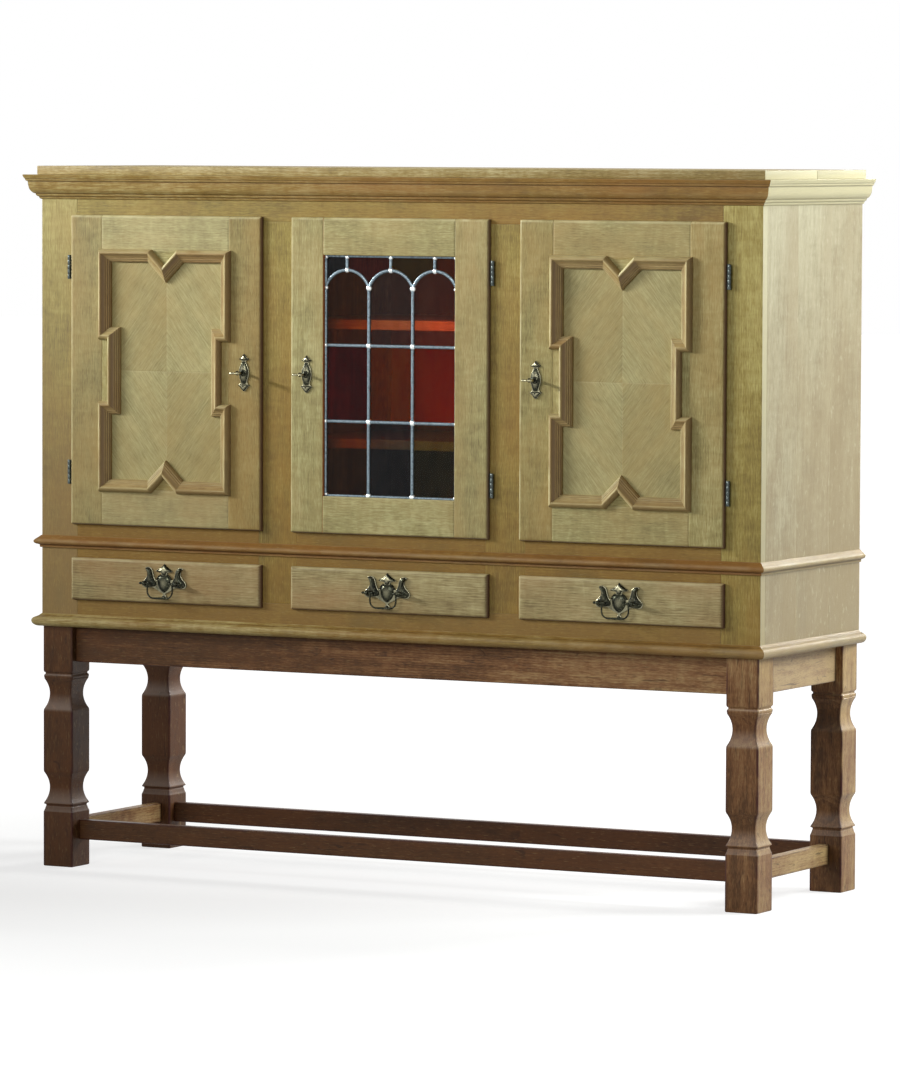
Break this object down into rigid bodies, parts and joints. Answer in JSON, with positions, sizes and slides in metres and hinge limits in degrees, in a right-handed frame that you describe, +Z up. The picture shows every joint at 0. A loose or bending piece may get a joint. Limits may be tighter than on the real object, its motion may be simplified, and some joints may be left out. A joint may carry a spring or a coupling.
{
  "type": "display cabinet",
  "caption": "Oak display cabinet on a turned four-leg stand: two doors with moulded, matched-veneer panels, a leaded coloured-glass door between them, and drawers with bail pulls below.",
  "frame": {"origin": "on the floor, under the middle of the outline's plan", "axes": "+X to the right seen from the front, +Y from the front to the back, +Z up"},
  "size_m": [1.554, 0.48, 1.326],
  "materials": {
    "stand_oak": "dark oiled oak, open grain, worn edges",
    "side_oak": "waxed oak boards, grain upright",
    "frame_oak": "waxed oak, satin",
    "top_oak": "waxed oak, satin",
    "door_oak": "waxed oak, satin",
    "drawer_oak": "waxed oak, satin",
    "moulding_oak": "moulded oak, satin",
    "bead_oak": "moulded oak, dark in its hollows",
    "panel_veneer": "four-way matched veneer, concentric diamonds, satin",
    "shelf_oak": "plain oak boards",
    "inner_wood": "plain unstained softwood",
    "brass": "antiqued, dark in the hollows and worn bright on the edges",
    "hinge_steel": "blackened steel",
    "lock_steel": "plain steel",
    "lead": "grey lead, dull",
    "coloured_glass": "dark coloured cathedral glass, lightly waved"
  },
  "bodies": {
    "cabinet": {"leg_front_left": "stand_oak", "leg_front_right": "stand_oak", "leg_rear_left": "stand_oak", "leg_rear_right": "stand_oak", "apron_front": "stand_oak", "apron_rear": "stand_oak", "aprons_side": "stand_oak", "stretcher_front": "stand_oak", "stretcher_rear": "stand_oak", "stretchers_side": "stand_oak", "side_left": "side_oak", "side_right": "side_oak", "bottom_board": "inner_wood", "dust_boards": "inner_wood", "partitions": "inner_wood", "back_panel": "inner_wood", "shelves": "shelf_oak", "drawer_runners": "inner_wood", "face_frame": "frame_oak", "plinth_moulding": "moulding_oak", "waist_moulding": "moulding_oak", "cornice": "moulding_oak", "top_slab": "top_oak", "carcase_hinge_leaves": "hinge_steel"},
    "door_left": {"door_left_frame": "door_oak", "door_left_panel": "panel_veneer", "door_left_moulding": "bead_oak", "door_left_hinge_leaves": "hinge_steel", "door_left_escutcheon": "brass", "door_left_lock": "lock_steel"},
    "bolt_left": {"door_left_bolt": "lock_steel"},
    "key_left": {"door_left_key": "brass"},
    "drawer_left": {"drawer_left_front": "drawer_oak", "drawer_left_box": "inner_wood", "drawer_left_pull": "brass"},
    "bail_left": {"drawer_left_bail": "brass"},
    "door_centre": {"door_centre_frame": "door_oak", "door_centre_glass": "coloured_glass", "door_centre_leading": "lead", "door_centre_hinge_leaves": "hinge_steel", "door_centre_escutcheon": "brass", "door_centre_lock": "lock_steel"},
    "bolt_centre": {"door_centre_bolt": "lock_steel"},
    "key_centre": {"door_centre_key": "brass"},
    "drawer_centre": {"drawer_centre_front": "drawer_oak", "drawer_centre_box": "inner_wood", "drawer_centre_pull": "brass"},
    "bail_centre": {"drawer_centre_bail": "brass"},
    "door_right": {"door_right_frame": "door_oak", "door_right_panel": "panel_veneer", "door_right_moulding": "bead_oak", "door_right_hinge_leaves": "hinge_steel", "door_right_escutcheon": "brass", "door_right_lock": "lock_steel"},
    "bolt_right": {"door_right_bolt": "lock_steel"},
    "key_right": {"door_right_key": "brass"},
    "drawer_right": {"drawer_right_front": "drawer_oak", "drawer_right_box": "inner_wood", "drawer_right_pull": "brass"},
    "bail_right": {"drawer_right_bail": "brass"}
  },
  "joints": [
    {"name": "door_left_hinge", "type": "hinge", "parent": "cabinet", "child": "door_left", "pos_m": [-0.687, -0.1925, 0.9435], "axis": [0, 0, -1], "range_deg": [0, 165]},
    {"name": "key_left_turn", "type": "hinge", "parent": "door_left", "child": "key_left", "pos_m": [-0.304, -0.198, 0.9455], "axis": [0, -1, 0], "range_deg": [0, 90]},
    {"name": "bolt_left_shoot", "type": "slide", "parent": "door_left", "child": "bolt_left", "axis": [1, 0, 0], "range_m": [0, 0.01]},
    {"name": "drawer_left_slide", "type": "slide", "parent": "cabinet", "child": "drawer_left", "axis": [0, -1, 0], "range_m": [0, 0.3]},
    {"name": "bail_left_swing", "type": "hinge", "parent": "drawer_left", "child": "bail_left", "pos_m": [-0.475, -0.216, 0.548], "axis": [-1, 0, 0], "range_deg": [0, 88]},
    {"name": "door_centre_hinge", "type": "hinge", "parent": "cabinet", "child": "door_centre", "pos_m": [0.212, -0.1925, 0.9435], "axis": [0, 0, 1], "range_deg": [0, 110]},
    {"name": "key_centre_turn", "type": "hinge", "parent": "door_centre", "child": "key_centre", "pos_m": [-0.171, -0.198, 0.9455], "axis": [0, 1, 0], "range_deg": [0, 90]},
    {"name": "bolt_centre_shoot", "type": "slide", "parent": "door_centre", "child": "bolt_centre", "axis": [-1, 0, 0], "range_m": [0, 0.01]},
    {"name": "drawer_centre_slide", "type": "slide", "parent": "cabinet", "child": "drawer_centre", "axis": [0, -1, 0], "range_m": [0, 0.3]},
    {"name": "bail_centre_swing", "type": "hinge", "parent": "drawer_centre", "child": "bail_centre", "pos_m": [0, -0.216, 0.548], "axis": [-1, 0, 0], "range_deg": [0, 88]},
    {"name": "door_right_hinge", "type": "hinge", "parent": "cabinet", "child": "door_right", "pos_m": [0.687, -0.1925, 0.9435], "axis": [0, 0, 1], "range_deg": [0, 165]},
    {"name": "key_right_turn", "type": "hinge", "parent": "door_right", "child": "key_right", "pos_m": [0.304, -0.198, 0.9455], "axis": [0, 1, 0], "range_deg": [0, 90]},
    {"name": "bolt_right_shoot", "type": "slide", "parent": "door_right", "child": "bolt_right", "axis": [-1, 0, 0], "range_m": [0, 0.01]},
    {"name": "drawer_right_slide", "type": "slide", "parent": "cabinet", "child": "drawer_right", "axis": [0, -1, 0], "range_m": [0, 0.3]},
    {"name": "bail_right_swing", "type": "hinge", "parent": "drawer_right", "child": "bail_right", "pos_m": [0.475, -0.216, 0.548], "axis": [-1, 0, 0], "range_deg": [0, 88]}
  ],
  "couplings": [
    {"joint": "key_left_turn", "follows": "bolt_left_shoot", "rad_per_m": 157.07},
    {"joint": "key_centre_turn", "follows": "bolt_centre_shoot", "rad_per_m": 157.07},
    {"joint": "key_right_turn", "follows": "bolt_right_shoot", "rad_per_m": 157.07}
  ]
}
